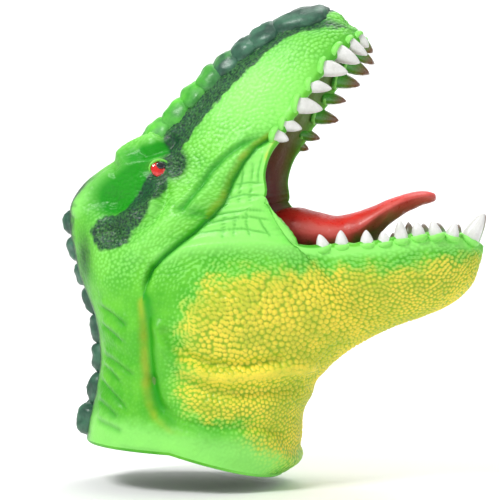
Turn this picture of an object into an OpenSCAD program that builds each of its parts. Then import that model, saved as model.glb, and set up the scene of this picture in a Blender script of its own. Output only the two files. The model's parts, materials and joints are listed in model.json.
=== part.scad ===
// Dinosaur hand puppet with an opening mouth, moulded in soft rubber.
// +X points along the snout, +Y to the puppet's left and +Z up.
// The origin is the centre of the hand opening. All lengths are in millimetres.

/* [Neck] */
// Front-to-back length of the hand opening
opening_l = 84.9; // [80:0.1:88]
// Side-to-side width of the hand opening
opening_w = 72; // [66:1:76]
// Height that the opening falls from the nape to the throat
opening_drop = 12; // [8:0.5:14]
// Height of the smooth band round the hand opening
cuff_h = 8; // [6:0.5:12]

/* [Skin] */
// Thickness of the rubber skin
wall = 2.8; // [2:0.1:3.2]
// Thickness of the lips, where the teeth stand
lip_wall = 4.2; // [3.6:0.1:4.6]
// Thickness of the linings of the mouth
lining_wall = 1.8; // [1.2:0.1:2.2]
// Width of the skull at the hinge of the jaws
skull_w = 71; // [66:1:74]
// Width of the upper jaw halfway along the teeth
snout_w = 55; // [50:1:58]
// Width of the lower jaw at its root
jaw_w = 66; // [60:1:68]

/* [Mouth] */
// Height of the vault of the palate
palate_h = 8; // [6:0.5:10]
// Depth of the floor of the mouth
floor_depth = 5; // [3:0.5:6]
// Width of the tongue
tongue_w = 27; // [22:1:30]
// Number of teeth along each side of the upper jaw
upper_teeth = 8; // [6:1:8]
// Number of teeth along each side of the lower jaw
lower_teeth = 9; // [7:1:9]
// Diameter of a common tooth at the gum
tooth_d = 4.8; // [4:0.1:5.2]

/* [Head details] */
// Diameter of an eyeball
eye_d = 6.4; // [5:0.2:7]
// Diameter of a pupil
pupil_d = 3; // [2:0.2:3.6]
// Length of the longest scute on the snout
scute_l = 11; // [8:0.5:12]

/* [Hidden] */
// Gap that keeps neighbouring pieces apart
gap = 0.4;
// Exponent of the rounded cross-sections, where 2 is an ellipse
squareness = 2.3;
// Points across an open cross-section, and round a closed one
arc_n = 25;
loop_n = 36;
// Rings between two stations of a skin
steps = 2;
// Rings along a lobe, and points round each of them
lobe_rings = 7;
lobe_sides = 12;

// Places of the features, as [x, z] in the plane of symmetry
eye_at = [-7, 114];
brow_at = [-20, 127.5];
nostril_at = [57, 172.5];
tongue_hinge = [70, 85];

// Skins are lofted through stations. A station of an open skin is
// [crown x, crown z, edge x, edge z, half width]: the cross-section runs from one
// edge over the crown to the other edge.
cuff_dx = opening_l / 2 * cos(asin(opening_drop / opening_l));
cuff_dz = opening_drop / 2;
skull_r = skull_w / 2;
snout_r = snout_w / 2;
jaw_r = jaw_w / 2;
opening_r = opening_w / 2;

// The neck is a closed skin: [nape x, nape z, throat x, throat z, half width]
neck_stations = [
    [-cuff_dx, cuff_dz, cuff_dx, -cuff_dz, opening_r],
    [-40, cuff_dz + cuff_h, 43.8, cuff_h - cuff_dz, opening_r - 0.5],
    [-37, 28, 45.3, 12, opening_r - 1],
    [-35.3, 45, 46.4, 21, opening_r - 0.5],
    [-38, 60, 48.2, 26.5, opening_r],
    [-41.7, 70, 49.6, 30, skull_r + 0.5]
];

// The nape closes the neck up to the back of the skull
neck_top = neck_stations[len(neck_stations) - 1];
neck_mid = [(neck_top[0] + neck_top[2]) / 2, (neck_top[1] + neck_top[3]) / 2];
nape_stations = [
    [neck_top[0] - 0.2, neck_top[1] + gap, neck_mid[0] - gap, neck_mid[1] + gap, neck_top[4]],
    [-44.5, 77, 2.4, 63, skull_r + 0.5],
    [-47.2, 86, 2.4, 80, skull_r + 0.3],
    [-48.4, 95.4, 2, 98.6, skull_r]
];

head_stations = [
    [-48.4, 96, 2, 99.2, skull_r],
    [-47.4, 104, 9, 103.5, skull_r],
    [-40, 113, 18, 109, skull_r - 0.5],
    [-26, 122.3, 28, 117, skull_r - 2],
    [-10.2, 134.3, 37, 126, skull_r - 4.5],
    [4.6, 149.5, 42, 132.5, snout_r + 1.5],
    [20, 163.2, 48, 141.5, snout_r + 0.5],
    [34, 172.6, 53.5, 150, snout_r - 1],
    [47, 177, 59, 158, snout_r - 4],
    [58, 176.3, 64.5, 163.5, snout_r - 8.5],
    [66, 172, 68.5, 167, snout_r - 15.5],
    [69, 169.6, 69.9, 168, snout_r - 22]
];

jowl_stations = [
    [neck_top[2] + 0.2, neck_top[3] + gap, neck_mid[0] + gap, neck_mid[1] + gap, neck_top[4]],
    [50.8, 32.3, 4, 62, skull_r + 0.5],
    [52.3, 34.2, 8, 73, skull_r + 0.3],
    [53.8, 35.8, 22, 80.5, skull_r - 0.3],
    [55.2, 37.3, 36, 83, jaw_r + 1.5],
    [56.6, 38.7, 46.4, 83, jaw_r]
];

jaw_stations = [
    [57.2, 39.2, 47, 83, jaw_r],
    [67, 46.4, 58, 83.7, jaw_r - 2.5],
    [79, 52.3, 69, 84.5, jaw_r - 4.5],
    [90, 56.5, 80, 85.3, jaw_r - 6.5],
    [101, 60.9, 91, 87.3, jaw_r - 9],
    [109.5, 67.5, 101, 88.5, jaw_r - 13],
    [114.5, 75.5, 109, 87.8, jaw_r - 18],
    [116.3, 82, 114.5, 86.3, jaw_r - 25],
    [116.9, 84.6, 116.5, 85.8, jaw_r - 30]
];

// The cheek webs close the corners of the mouth and tuck in behind the skins, as
// [top x, top z, bottom x, bottom z, top y, bottom y]
head_inset = lip_wall + gap;
jowl_inset = wall + gap;
web_stations = [
    [2.6, 101, 4.6, 63, skull_r - head_inset, skull_r - jowl_inset],
    [9, 105.5, 9, 71, skull_r - head_inset, skull_r - jowl_inset],
    [17.5, 110.5, 22.5, 78.5, skull_r - 0.5 - head_inset, skull_r - 0.5 - jowl_inset],
    [26.5, 118, 36, 81, skull_r - 2 - head_inset, jaw_r + 1.2 - jowl_inset],
    [34.3, 124.8, 46, 82, skull_r - 4 - head_inset, jaw_r - jowl_inset]
];
// How far the free edge of a web is drawn back, and how far it sinks in
web_bow = 8.5;
web_sag = 2;
// Where the palate starts among the head's stations, and how many stations before the tip
// of the snout it stops; the same at the tip of the jaw for the floor of the mouth
palate_from = 4.3;
palate_short = 2.7;
floor_short = 2.5;
// Where each vault is lowest, over how many stations it gets there, and how low
palate_low_at = 11;
palate_run = 8;
floor_low_at = 7;
floor_run = 6;
vault_low = 0.4;

// The lining at the back of the mouth: [x, z, half width, hollow in the middle]
mouth_back_stations = [
    [34.2, 125.8, 24.8, 5.5], [28.5, 119, 25.4, 5], [20.5, 111.5, 26, 4.5], [16, 102.5, 26.2, 4],
    [15.5, 93, 26.4, 3.5], [21, 85.5, 26.8, 3.5], [32, 81.8, 27, 4], [46.2, 81.2, 27, 5]
];

// The tongue: [top x, top z, underside x, underside z, half width]
tongue_r = tongue_w / 2;
tongue_root_stations = [
    [34, 98, 35, 86, tongue_r - 3.5],
    [38, 101, 40, 81.5, tongue_r - 1],
    [47, 101.3, 50, 80.3, tongue_r],
    [56, 99, 60, 80.6, tongue_r],
    [64.5, 98.6, 70.5, 82, tongue_r - 0.5]
];
tongue_tip_stations = [
    [65.6, 98.8, 71.3, 82.6, tongue_r - 0.6],
    [71, 100.5, 77, 91, tongue_r - 1.2],
    [79, 103.8, 84, 97.6, tongue_r - 2.5],
    [87, 106.5, 90, 100.6, tongue_r - 4.5],
    [94, 107.3, 95, 102.2, tongue_r - 7.5],
    [97.4, 106.2, 97.6, 103.6, tongue_r - 10.5]
];

// Teeth, as [place along the lip as a station number, length, lean towards the snout tip]
upper_tooth_list = [
    [4.4, 6, 1], [5.05, 7.5, 2], [5.9, 10, 3], [6.72, 8.5, 3],
    [7.6, 10, 3], [8.5, 10, 3], [9.3, 9, 2], [10.15, 6, 1]
];
lower_tooth_list = [
    [1, 6, -1], [1.65, 7, 0], [2.5, 6.5, 0], [3.1, 5.5, 0], [3.7, 8.5, 0.5],
    [4.27, 7, 0], [4.85, 6.5, -0.5], [5.6, 6, 0.5], [6.55, 12, 2]
];
tooth_sides = 8;

// Scutes, as [x, z, length, height]: a double row on the ridge of the snout, and a
// double row down the back of the neck
snout_scutes = [
    [45, 176.6, scute_l + 8, 3], [31, 171.2, scute_l, 4], [23, 165.7, scute_l, 4.2],
    [16, 160, scute_l, 4.2], [9.2, 154, scute_l, 4.4], [2.6, 147.4, scute_l + 1, 4.4],
    [-4.2, 140, scute_l + 1, 4.4], [-11.8, 132.6, scute_l + 1, 4]
];
neck_scutes = [[-38.2, 21, 10, 3.4], [-36.4, 31, 11, 3], [-35.2, 42, 11, 3], [-36, 53, 11, 3], [-38.6, 62.5, 9, 2.6]];
nape_scutes = [[-42.2, 75.6, 9, 2.2], [-45, 83.4, 8, 2], [-46.2, 88, 6, 2]];
scute_row = 6;
scute_width = scute_row * 1.7;
// How deep a scute's foot goes into the skin
scute_foot = wall - 0.3;

UPPER_TEETH = [for (side = ["left", "right"], i = [1:upper_teeth]) str("upper_tooth_", side, "_", i)];
LOWER_TEETH = [for (side = ["left", "right"], i = [1:lower_teeth]) str("lower_tooth_", side, "_", i)];
SIDE_PIECES = [
    for (piece = ["cheek_web", "eye", "pupil", "brow", "nostril", "snout_scutes"], side = ["left", "right"])
        str(piece, "_", side)
];

// ---- Points and curves ----

// A smooth curve through the rows of a list, at place t counted in rows
function row(list, i) = list[max(0, min(len(list) - 1, i))];
function smooth(list, t) =
    let (i = max(0, min(len(list) - 2, floor(t))), f = t - i)
    let (a = row(list, i - 1), b = row(list, i), c = row(list, i + 1), d = row(list, i + 2))
    b + (c - a) * f / 2 + (2 * a - 5 * b + 4 * c - d) * f * f / 2 + (3 * b - a - 3 * c + d) * f * f * f / 2;

// Every place along a list of stations, from row "first" to row "last"
function places(first, last, n = steps) = [for (k = [0:(last - first) * n]) first + k / n];

// One corner of a rounded cross-section, as [across, up], each from -1 to 1
function rounded(angle) = [
    sign(cos(angle)) * pow(abs(cos(angle)), 2 / squareness),
    sign(sin(angle)) * pow(abs(sin(angle)), 2 / squareness)
];

// An open cross-section of a station: edge, crown, edge
function open_ring(station, inset = 0, edge_inset = 0) =
    let (
        crown = [station[0], station[1]],
        edge = [station[2], station[3]],
        reach = norm(crown - edge),
        height = (crown - edge) * (reach - inset) / reach
    )
    [for (k = [0:arc_n - 1])
        let (angle = 180 * k / (arc_n - 1), corner = rounded(angle))
        let (thick = inset + (edge_inset - inset) * pow(abs(cos(angle)), 6))
        let (at = edge + height * corner[1])
        [at[0], corner[0] * (station[4] - thick), at[1]]
    ];

// A closed cross-section of a station, whose two ends lie in the plane of symmetry
function closed_ring(station, inset = 0, n = loop_n) =
    let (
        back = [station[0], station[1]],
        front = [station[2], station[3]],
        mid = (back + front) / 2,
        reach = (front - back) / 2,
        size = norm(reach)
    )
    [for (k = [0:n - 1])
        let (corner = rounded(360 * k / n), at = mid + reach * (corner[0] * (size - inset) / size))
        [at[0], corner[1] * (station[4] - inset), at[1]]
    ];

// ---- Solids from rings ----

// Two triangles for each patch of a grid of rows by columns
function grid_faces(rows, cols, start, wrap, turned) = [
    for (i = [0:rows - 2], j = [0:(wrap ? cols - 1 : cols - 2)])
        let (k = (j + 1) % cols)
        let (a = start + i * cols + j, b = start + i * cols + k)
        let (c = start + (i + 1) * cols + k, d = start + (i + 1) * cols + j)
        each (turned ? [[a, c, b], [a, d, c]] : [[a, b, c], [a, c, d]])
];

// Triangles that join one edge of the outer grid to the same edge of the inner grid
function strip_faces(outer, inner, turned) = [
    for (k = [0:len(outer) - 2])
        each (turned
            ? [[outer[k], inner[k], inner[k + 1]], [outer[k], inner[k + 1], outer[k + 1]]]
            : [[outer[k], inner[k + 1], inner[k]], [outer[k], outer[k + 1], inner[k + 1]]])
];

// A skin with thickness, between an outer grid of points and an inner one
module skin(outer, inner, wrap = false) {
    rows = len(outer);
    cols = len(outer[0]);
    base = rows * cols;
    first = wrap ? [for (j = [0:cols]) j % cols] : [for (j = [0:cols - 1]) j];
    last = [for (j = first) (rows - 1) * cols + j];
    left = [for (i = [0:rows - 1]) i * cols];
    right = [for (i = [0:rows - 1]) i * cols + cols - 1];
    polyhedron(
        points = concat([for (ring = outer) each ring], [for (ring = inner) each ring]),
        faces = concat(
            grid_faces(rows, cols, 0, wrap, false),
            grid_faces(rows, cols, base, wrap, true),
            strip_faces(first, [for (k = first) k + base], true),
            strip_faces(last, [for (k = last) k + base], false),
            wrap ? [] : strip_faces(left, [for (k = left) k + base], false),
            wrap ? [] : strip_faces(right, [for (k = right) k + base], true)
        ),
        convexity = 8
    );
}

// A solid through closed rings, closed at each end with a fan of triangles
module solid(rings) {
    rows = len(rings);
    cols = len(rings[0]);
    centre = function (ring) [
        for (axis = [0:2]) [for (p = ring) p[axis]] * [for (p = ring) 1] / len(ring)
    ];
    tip = rows * cols;
    polyhedron(
        points = concat([for (ring = rings) each ring], [centre(rings[0]), centre(rings[rows - 1])]),
        faces = concat(
            grid_faces(rows, cols, 0, true, false),
            [for (j = [0:cols - 1]) [tip, (j + 1) % cols, j]],
            [for (j = [0:cols - 1]) [tip + 1, tip - cols + j, tip - cols + (j + 1) % cols]]
        ),
        convexity = 4
    );
}

// An open skin through stations, thicker at its edges than at its crown
module open_skin(stations, first, last, crown_wall, edge_wall) {
    outer = [for (t = places(first, last)) open_ring(smooth(stations, t))];
    inner = [for (t = places(first, last)) open_ring(smooth(stations, t), crown_wall, edge_wall)];
    skin(outer, inner);
}

// An egg-shaped lobe with its long axis along "along", in the plane of symmetry. Its
// lower half can be shallower than its upper half.
module lobe(at, along, size, foot = undef) {
    turn = atan2(along[1], along[0]);
    rise = size[2] / 2;
    drop = is_undef(foot) ? rise : foot;
    rings = [for (i = [1:lobe_rings])
        let (u = -cos(180 * i / (lobe_rings + 1)), r = sin(180 * i / (lobe_rings + 1)))
        [for (k = [0:lobe_sides - 1])
            let (v = 360 * k / lobe_sides, x = u * size[0] / 2)
            let (z = r * sin(v) * (sin(v) < 0 ? drop : rise))
            [at[0] + x * cos(turn) - z * sin(turn), at[1] + r * cos(v) * size[1] / 2,
             at[2] + x * sin(turn) + z * cos(turn)]
        ]
    ];
    solid([for (i = [len(rings) - 1:-1:0]) rings[i]]);
}

// Mirrors a piece that is made for the puppet's left side
module on_side(side) {
    if (side == "left") children();
    else mirror([0, 1, 0]) children();
}

// ---- Neck ----

module cuff_band() {
    color("yellowgreen")
        skin([for (t = places(0, 1)) closed_ring(smooth(neck_stations, t * 0.98))],
             [for (t = places(0, 1)) closed_ring(smooth(neck_stations, t * 0.98), wall)], true);
}

module neck_sleeve() {
    last = len(neck_stations) - 1;
    stretch = places(1, last);
    color("limegreen")
        skin([for (t = stretch) closed_ring(smooth(neck_stations, t))],
             [for (t = stretch) closed_ring(smooth(neck_stations, t), wall)], true);
}

module nape_fold() {
    color("green") open_skin(nape_stations, 0, len(nape_stations) - 1, wall, wall);
}

module jowl_fold() {
    color("yellow") open_skin(jowl_stations, 0, len(jowl_stations) - 1, wall, wall);
}

module cheek_web(side) {
    rows = places(0, len(web_stations) - 1);
    across = 12;
    sheet = function (inset) [for (t = rows)
        let (s = smooth(web_stations, t), bow = web_bow * pow(t / (len(web_stations) - 1), 2))
        [for (k = [0:across])
            let (f = k / across, belly = 4 * f * (1 - f))
            [s[0] + (s[2] - s[0]) * f - bow * belly,
             s[4] + (s[5] - s[4]) * f - web_sag * belly - inset,
             s[1] + (s[3] - s[1]) * f]
        ]
    ];
    color("darkolivegreen") on_side(side) skin(sheet(0), sheet(lining_wall));
}

module mouth_back() {
    across = 14;
    rows = places(0, len(mouth_back_stations) - 1);
    sheet = function (inset) [for (t = rows)
        let (s = smooth(mouth_back_stations, t))
        let (u = smooth(mouth_back_stations, t + 0.01) - smooth(mouth_back_stations, t - 0.01))
        let (side = [-u[1], u[0]] / norm([u[0], u[1]]))
        [for (k = [0:across])
            let (f = 2 * k / across - 1, out = inset - s[3] * (1 - f * f))
            [s[0] + side[0] * out, -s[2] * f, s[1] + side[1] * out]
        ]
    ];
    color("saddlebrown") skin(sheet(0), sheet(lining_wall));
}

// A double row of scutes that stand up the back of the neck
module scute_rows(scutes) {
    color("darkslategray")
        for (i = [0:len(scutes) - 1], y = [-scute_row, scute_row])
            let (s = scutes[i], below = row(scutes, i - 1), above = row(scutes, i + 1))
            lobe([s[0], y, s[1]], [above[0] - below[0], above[1] - below[1]],
                 [s[2], scute_width, s[3] * 2], scute_foot);
}

module neck_scutes() {
    scute_rows(neck_scutes);
}

module nape_scutes() {
    scute_rows(nape_scutes);
}

// ---- Head ----

module head_skin() {
    color("limegreen") open_skin(head_stations, 0, len(head_stations) - 1, wall, lip_wall);
}

// Share of a vault's full height at place t: it drops to vault_low at place low_at
function vault_share(t, low_at, run) = min(1, vault_low + (low_at - t) / run);

// The palate is a low vault between the lips
function palate_station(s, rise) =
    let (up = [s[0] - s[2], s[1] - s[3]] / norm([s[0] - s[2], s[1] - s[3]]))
    let (foot = [s[2], s[3]] + up * 1.6, crown = foot + up * rise)
    [crown[0], crown[1], foot[0], foot[1], s[4] - lip_wall - gap];

module palate_lining() {
    stretch = places(palate_from, len(head_stations) - palate_short);
    stations = [for (t = stretch)
        palate_station(smooth(head_stations, t), palate_h * vault_share(t, palate_low_at, palate_run))];
    color("indianred")
        skin([for (s = stations) open_ring(s)], [for (s = stations) open_ring(s, lining_wall, lining_wall)]);
}

module eye(side) {
    color("red") on_side(side)
        lobe([eye_at[0], skull_r - 4.6, eye_at[1]], [1, -0.45], [eye_d, eye_d * 0.7, eye_d * 0.8]);
}

module pupil(side) {
    color("black") on_side(side)
        lobe([eye_at[0], skull_r - 2.5, eye_at[1] + 0.5], [1, -0.45], [pupil_d, pupil_d * 0.5, pupil_d * 0.8]);
}

module brow(side) {
    color("yellowgreen") on_side(side)
        lobe([brow_at[0], skull_r - 18, brow_at[1] - 3], [1, 0.8], [20, 11, 7]);
}

module nostril(side) {
    color("green") on_side(side)
        lobe([nostril_at[0], 9, nostril_at[1] + 2], [1, -0.3], [14, 8, 6]);
}

module snout_scutes(side) {
    color("darkslategray") on_side(side)
        for (i = [0:len(snout_scutes) - 1])
            let (s = snout_scutes[i], before = row(snout_scutes, i + 1), after = row(snout_scutes, i - 1))
            lobe([s[0], scute_row, s[1]], [after[0] - before[0], after[1] - before[1]],
                 [s[2], scute_width, s[3] * 2], scute_foot);
}

// ---- Lower jaw ----

module jaw_skin() {
    color("gold") open_skin(jaw_stations, 0, len(jaw_stations) - 1, wall, lip_wall);
}

module mouth_floor() {
    stretch = places(0, len(jaw_stations) - floor_short);
    stations = [for (t = stretch)
        palate_station(smooth(jaw_stations, t), floor_depth * vault_share(t, floor_low_at, floor_run))];
    color("indianred")
        skin([for (s = stations) open_ring(s)], [for (s = stations) open_ring(s, lining_wall, lining_wall)]);
}

module tongue(stations) {
    color("red")
        solid([for (t = places(0, len(stations) - 1)) closed_ring(smooth(stations, t), 0, 20)]);
}

module tongue_root() {
    tongue(tongue_root_stations);
}

module tongue_tip() {
    tongue(tongue_tip_stations);
}

// ---- Teeth ----

// A curved tooth that stands on the lip at place t of a skin's stations
module tooth(stations, spec, forward, side) {
    s = smooth(stations, spec[0]);
    out = [s[2] - s[0], s[3] - s[1]] / norm([s[2] - s[0], s[3] - s[1]]);
    u = smooth(stations, spec[0] + 0.02) - smooth(stations, spec[0] - 0.02);
    run = [u[2], u[3]] / norm([u[2], u[3]]);
    root = [s[2], s[3]] + out * 0.2;
    away = [run[1], -run[0]] * forward;
    r = tooth_d / 2 * (spec[1] > 9 ? 1.25 : 1);
    middle = s[4] - lip_wall / 2;
    levels = [0, 0.25, 0.5, 0.75, 0.93];
    rings = [for (h = levels)
        let (rise = spec[1] * h, lean = spec[2] * h * h, girth = r * sqrt(1 - h * h * 0.97))
        let (at = root + away * rise + run * lean)
        [for (k = [0:tooth_sides - 1])
            let (v = 360 * k / tooth_sides, x = girth * cos(v), y = girth * sin(v) * 0.85)
            [at[0] + run[0] * x, middle + y * forward, at[1] + run[1] * x]
        ]
    ];
    color("white") on_side(side) solid(rings);
}

module upper_tooth(i, side) {
    tooth(head_stations, upper_tooth_list[i - 1], 1, side);
}

module lower_tooth(i, side) {
    tooth(jaw_stations, lower_tooth_list[i - 1], -1, side);
}

// ---- Pieces ----

cuff_band();
neck_sleeve();
nape_fold();
jowl_fold();
mouth_back();
neck_scutes();
nape_scutes();
head_skin();
palate_lining();
jaw_skin();
mouth_floor();
tongue_root();
tongue_tip();
for (side = ["left", "right"]) {
    cheek_web(side);
    eye(side);
    pupil(side);
    brow(side);
    nostril(side);
    snout_scutes(side);
    for (i = [1:upper_teeth])
        upper_tooth(i, side);
    for (i = [1:lower_teeth])
        lower_tooth(i, side);
}
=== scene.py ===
"""Looks of the dinosaur hand puppet: soft pebbled rubber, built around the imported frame."""
import json
import math
from types import SimpleNamespace

import bpy
import numpy as np
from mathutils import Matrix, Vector
from mathutils.kdtree import KDTree


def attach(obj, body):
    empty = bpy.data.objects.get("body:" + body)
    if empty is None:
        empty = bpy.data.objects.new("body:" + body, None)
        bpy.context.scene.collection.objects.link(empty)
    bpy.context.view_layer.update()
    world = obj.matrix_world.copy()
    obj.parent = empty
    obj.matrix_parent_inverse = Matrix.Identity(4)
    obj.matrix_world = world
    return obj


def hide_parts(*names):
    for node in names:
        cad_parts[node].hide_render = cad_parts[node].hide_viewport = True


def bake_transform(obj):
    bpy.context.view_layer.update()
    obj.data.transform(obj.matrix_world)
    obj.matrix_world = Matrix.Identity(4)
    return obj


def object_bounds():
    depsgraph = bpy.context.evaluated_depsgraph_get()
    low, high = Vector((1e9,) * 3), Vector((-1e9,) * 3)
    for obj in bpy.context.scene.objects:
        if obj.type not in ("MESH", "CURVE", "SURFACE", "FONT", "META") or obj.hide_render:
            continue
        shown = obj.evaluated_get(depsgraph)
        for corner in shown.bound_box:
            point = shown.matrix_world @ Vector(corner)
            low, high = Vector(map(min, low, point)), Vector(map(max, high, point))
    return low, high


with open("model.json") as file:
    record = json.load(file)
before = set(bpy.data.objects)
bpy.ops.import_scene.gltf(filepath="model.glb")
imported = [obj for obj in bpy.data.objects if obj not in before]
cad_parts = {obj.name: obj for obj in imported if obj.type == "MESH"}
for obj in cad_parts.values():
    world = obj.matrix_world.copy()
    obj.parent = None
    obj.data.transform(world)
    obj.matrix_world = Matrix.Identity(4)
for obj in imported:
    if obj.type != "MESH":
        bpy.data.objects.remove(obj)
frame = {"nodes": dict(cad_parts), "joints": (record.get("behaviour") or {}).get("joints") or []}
cad_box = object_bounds()

MM = 0.001
rng = np.random.default_rng(7)
JOINT = {j["name"]: j for j in frame["joints"]}

# ---------------------------------------------------------------- outlines, in millimetres
# A station is [crown x, crown z, edge x, edge z, half width]. The cross-section runs from one
# edge over the crown to the other edge. The first SHARED stations of the two skins have the same
# edges, down the middle of the neck and cheek to the corner of the mouth.
SHARED = 10
UPPER = np.array([
    [-40.5, 9.2, 0, 7.0, 36], [-39, 17, 1, 14.6, 35.5], [-36.6, 28, 3, 24.5, 35], [-35, 42, 4, 34.5, 35.2],
    [-36.6, 56, 4.5, 46, 35.8], [-41, 69, 5, 58, 36], [-45.2, 80, 7.5, 70, 36],
    [-48, 92, 13, 81, 35.8], [-47.8, 102.5, 20, 90.5, 35.2], [-41.5, 111.5, 28, 98, 34],
    [-29, 120.5, 35.3, 104.5, 31.8],
    [-15.4, 127.4, 35.2, 113.5, 30.5], [-5.8, 136.2, 38, 124, 29.4], [2.6, 144.6, 42.2, 131.8, 28.8],
    [12.6, 154.6, 46.6, 138.6, 28.2], [22.6, 162.4, 50.8, 145.6, 27.4], [33.2, 169.8, 55.5, 152.8, 26],
    [43.6, 174.8, 59.8, 158.8, 23.6], [53.2, 176.6, 64, 163.3, 19.8], [61, 174.8, 67.3, 166.3, 14.5],
    [66.6, 171.8, 69.2, 167.9, 9.2], [69.4, 170, 70.2, 168.5, 4.5], [70.4, 169.3, 70.6, 168.8, 1.2],
])
LOWER = np.array([
    [38.5, -4.2, 0, 7.0, 36], [43.4, 1.8, 1, 14.6, 35.5], [45, 9, 3, 24.5, 35], [45.4, 16.5, 4, 34.5, 35.2],
    [46.8, 23, 4.5, 46, 35.8], [49.2, 28.8, 5, 58, 36], [52.4, 34, 7.5, 70, 36],
    [56.2, 38.4, 13, 81, 35.8], [60.7, 42.4, 20, 90.5, 35.2], [65.9, 46, 28, 98, 34],
    [71.6, 49.1, 35.3, 104.5, 31.8],
    [77.3, 51.7, 40, 95.5, 31.8], [83, 54, 47, 86.5, 31.6], [88.8, 56.1, 56, 84, 30.8],
    [95, 58.4, 66.5, 84.5, 29], [101.2, 61.2, 78, 85.2, 26.8], [107.3, 65.3, 89, 87.4, 23.6],
    [112, 70.5, 98.5, 88.6, 19.6], [115, 76.5, 107, 88.2, 14.8], [116.6, 81.5, 112.8, 87, 9.5],
    [117.2, 84.4, 115.8, 86.2, 4.6], [117.4, 85.4, 117, 85.9, 1.2],
])
# How square a cross-section is: 2 is an ellipse
SQUARE = 2.3
# Radius of the rolled edge of the mouth, along the lips and at the cheek web
LIP_R = 2.2
WEB_R = 0.9
# A painted tooth against its CAD tooth
TOOTH_LENGTH = 1.1
TOOTH_WIDTH = 1.24
# Gap between the rings of a skin, and the points of a ring, of its rolled edge and of its lining
SPACING = 0.52
ARC_COLS = 291
RIM_COLS = 9
INNER_COLS = 67

# Depth of the mouth's lining behind its edge, from the corner of the mouth forward, and the way
# that it goes at the corner
BACK_OF_MOUTH = 23
PALATE = 8.5
FLOOR = 6
BACKWARD = np.array([-0.97, 0, -0.24])

EYE = np.array([-7.6, 115.0])


# ---------------------------------------------------------------- curves and noise
def smooth(rows, t):
    """Catmull-Rom through the rows of a list, at places t counted in rows."""
    rows = np.asarray(rows, float)
    t = np.clip(np.asarray(t, float), 0, len(rows) - 1)
    i = np.minimum(t.astype(int), len(rows) - 2)
    f = (t - i)[:, None]
    a, b = rows[np.maximum(i - 1, 0)], rows[i]
    c, d = rows[i + 1], rows[np.minimum(i + 2, len(rows) - 1)]
    cubic = (3 * (b - c) + d - a) * f**3 + (2 * a - 5 * b + 4 * c - d) * f**2
    return b + 0.5 * ((c - a) * f + cubic)


def even_places(rows, first, last, spacing):
    """Places from row first to row last, spaced evenly by the mean of the crown and edge lengths."""
    t = np.linspace(first, last, 1500)
    p = smooth(rows, t)
    crown = np.linalg.norm(np.diff(p[:, 0:2], axis=0), axis=1)
    edge = np.linalg.norm(np.diff(p[:, 2:4], axis=0), axis=1)
    length = np.concatenate([[0], np.cumsum(0.5 * (crown + edge))])
    count = int(length[-1] / spacing) + 1
    return np.interp(np.linspace(0, length[-1], count), length, t)


def rounded(angle, power=SQUARE):
    """Across and up of a rounded cross-section, each from -1 to 1."""
    c, s = np.cos(angle), np.sin(angle)
    return np.sign(c) * np.abs(c)**(2 / power), np.sign(s) * np.abs(s)**(2 / power)


def ease(x, low, high):
    t = np.clip((x - low) / (high - low), 0, 1)
    return t * t * (3 - 2 * t)


def to_line(p, line):
    """Distance from points to a polyline in the side view, and the side that they lie on."""
    best = np.full(len(p), 1e9)
    side = np.zeros(len(p))
    place = np.zeros(len(p))
    line = np.asarray(line, float)
    count = len(line) - 1
    for k in range(count):
        a, b = line[k], line[k + 1]
        ab = b - a
        t = np.clip(((p - a) @ ab) / (ab @ ab), 0, 1)
        off = p - (a + t[:, None] * ab)
        d = np.linalg.norm(off, axis=1)
        near = d < best
        best[near] = d[near]
        side[near] = np.sign(ab[0] * off[near, 1] - ab[1] * off[near, 0])
        place[near] = (k + t[near]) / count
    return best, side, place


def bump(p, at, reach):
    """A round bell, 1 at its centre, with its own reach along x and z."""
    d = (p - np.asarray(at)) / np.asarray(reach)
    return np.exp(-(d**2).sum(1))


def ridge(p, line, width):
    """A soft ridge along a line, fading towards both of its ends."""
    d, _, place = to_line(p, line)
    return np.exp(-(d / width)**2) * np.clip(8 * place * (1 - place) + 0.15, 0, 1)


def cell_hash(cells, salt):
    n = cells[:, 0] * 73856093 ^ cells[:, 1] * 19349663 ^ cells[:, 2] * 83492791 ^ salt * 2654435761
    n = (n ^ (n >> 13)) * 1274126177
    return ((n ^ (n >> 16)) & 0xFFFF) / 65535.0


def scatter(points, gap, wanted):
    """Points of a surface in random order, each at least its gap away from the ones before."""
    size = float(gap[wanted].max())
    cells = {}
    kept = []
    keys = np.floor(points / size).astype(int)
    around = [(i, j, k) for i in (-1, 0, 1) for j in (-1, 0, 1) for k in (-1, 0, 1)]
    for index in rng.permutation(np.flatnonzero(wanted)).tolist():
        x, y, z = points[index]
        a, b, c = keys[index]
        room = float(gap[index])**2
        free = True
        for i, j, k in around:
            for px, py, pz in cells.get((a + i, b + j, c + k), ()):
                if (px - x)**2 + (py - y)**2 + (pz - z)**2 < room:
                    free = False
                    break
            if not free:
                break
        if free:
            cells.setdefault((a, b, c), []).append((x, y, z))
            kept.append(index)
    return points[kept]


def pebbles(points, gap, wanted):
    """Round pebbles packed over part of a surface: their height from 0 to 1."""
    spots = scatter(points, gap, wanted)
    tree = KDTree(len(spots))
    for index, spot in enumerate(spots):
        tree.insert(spot, index)
    tree.balance()
    height = np.zeros(len(points))
    for index in np.flatnonzero(wanted).tolist():
        (_, _, first), (_, _, second) = tree.find_n(points[index], 2)
        valley = min((second - first) / (0.4 * gap[index]), 1.0)
        height[index] = max(1 - (first / (0.82 * gap[index]))**2, 0.0) * (0.35 + 0.65 * valley)
    return height


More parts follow.
